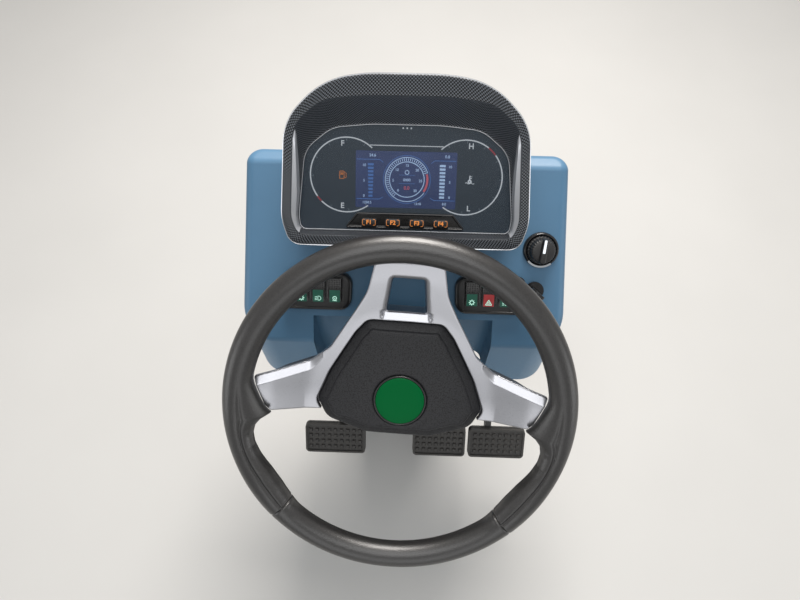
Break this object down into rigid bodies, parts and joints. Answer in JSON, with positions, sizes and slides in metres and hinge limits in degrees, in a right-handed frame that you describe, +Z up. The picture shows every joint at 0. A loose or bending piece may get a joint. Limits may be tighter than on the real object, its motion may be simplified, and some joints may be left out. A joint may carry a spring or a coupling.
{
  "type": "tractor steering console",
  "caption": "Pedestal steering console of a farm tractor: hooded digital instrument, sloped switch deck, three-spoke steering wheel and hanging clutch and brake pedals.",
  "frame": {"origin": "middle of the floor flange's bolt pattern, on the flange's underside", "axes": "+Z up from the floor, +Y towards the front of the tractor, +X to the driver's right"},
  "size_m": [0.428, 0.5019, 0.8368],
  "materials": {
    "frame_paint": "black powder coat, semi-matt",
    "bare_steel": "turned and oiled",
    "cast_iron": "cast, dark paint",
    "hose_rubber": "matt",
    "boot_rubber": "matt, folded",
    "console_plastic": "slate blue-grey moulding, fine grain, soft sheen",
    "shroud_plastic": "dark grey moulding",
    "hood_weave": "black and grey woven look under clear gloss",
    "cluster_black": "black moulding",
    "dial_grey": "dark grey, glossy",
    "screen": "navy display",
    "print_white": "white print",
    "key_amber": "amber legend keys",
    "lens": "clear, glossy",
    "switch_black": "black, fine grain",
    "switch_chrome": "bright",
    "rim_skin": "charcoal moulded skin with pebble grain",
    "trim_silver": "satin silver",
    "armature": "cast",
    "emblem_green": "plain green, glossy",
    "pedal_paint": "black paint",
    "pad_rubber": "studded, matt"
  },
  "bodies": {
    "console": {"floor_flange": "frame_paint", "frame_posts": "frame_paint", "frame_cross_beam": "frame_paint", "pedal_shaft": "bare_steel", "column_bracket": "frame_paint", "column_jacket": "frame_paint", "column_bush": "cluster_black", "steering_valve": "cast_iron", "steering_hoses": "hose_rubber", "column_shroud": "switch_black", "column_boot": "boot_rubber", "lower_shroud": "shroud_plastic", "service_panel": "shroud_plastic", "head_shell": "console_plastic", "binnacle_hood": "hood_weave", "cluster_housing": "cluster_black", "cluster_face": "dial_grey", "lcd_screen": "screen", "gauge_rings": "print_white", "function_key_bar": "cluster_black", "function_keys": "key_amber", "cluster_lens": "lens", "light_switch_ring": "switch_chrome", "light_switch_knob": "switch_black", "key_switch": "switch_chrome", "ignition_key": "switch_black", "switch_bezel_left": "switch_black", "switch_bezel_right": "switch_black", "rockers_left": "dial_grey", "rockers_right": "dial_grey"},
    "steering_wheel": {"wheel_rim": "rim_skin", "spoke_trim": "trim_silver", "wheel_armature": "armature", "hub_pad": "rim_skin", "emblem_ring": "switch_black", "emblem_disc": "emblem_green", "hub_back_cover": "switch_black", "steering_shaft": "bare_steel", "shaft_nut": "bare_steel"},
    "clutch_pedal": {"clutch_arm": "pedal_paint", "clutch_pad": "pad_rubber"},
    "brake_pedal_left": {"brake_left_arm": "pedal_paint", "brake_left_pad": "pad_rubber"},
    "brake_pedal_right": {"brake_right_arm": "pedal_paint", "brake_right_pad": "pad_rubber"}
  },
  "joints": [
    {"name": "steering_turn", "type": "hinge", "parent": "console", "child": "steering_wheel", "pos_m": [0, -0.265, 0.6], "axis": [0, -0.6691, 0.7431], "continuous": true},
    {"name": "clutch_press", "type": "hinge", "parent": "console", "child": "clutch_pedal", "pos_m": [0, -0.06, 0.488], "axis": [1, 0, 0], "range_deg": [0, 18], "stiffness_Nm_per_rad": 60, "springref_deg": -20.05},
    {"name": "brake_left_press", "type": "hinge", "parent": "console", "child": "brake_pedal_left", "pos_m": [0, -0.06, 0.488], "axis": [1, 0, 0], "range_deg": [0, 18], "stiffness_Nm_per_rad": 45, "springref_deg": -17.19},
    {"name": "brake_right_press", "type": "hinge", "parent": "console", "child": "brake_pedal_right", "pos_m": [0, -0.06, 0.488], "axis": [1, 0, 0], "range_deg": [0, 18], "stiffness_Nm_per_rad": 45, "springref_deg": -17.19}
  ]
}
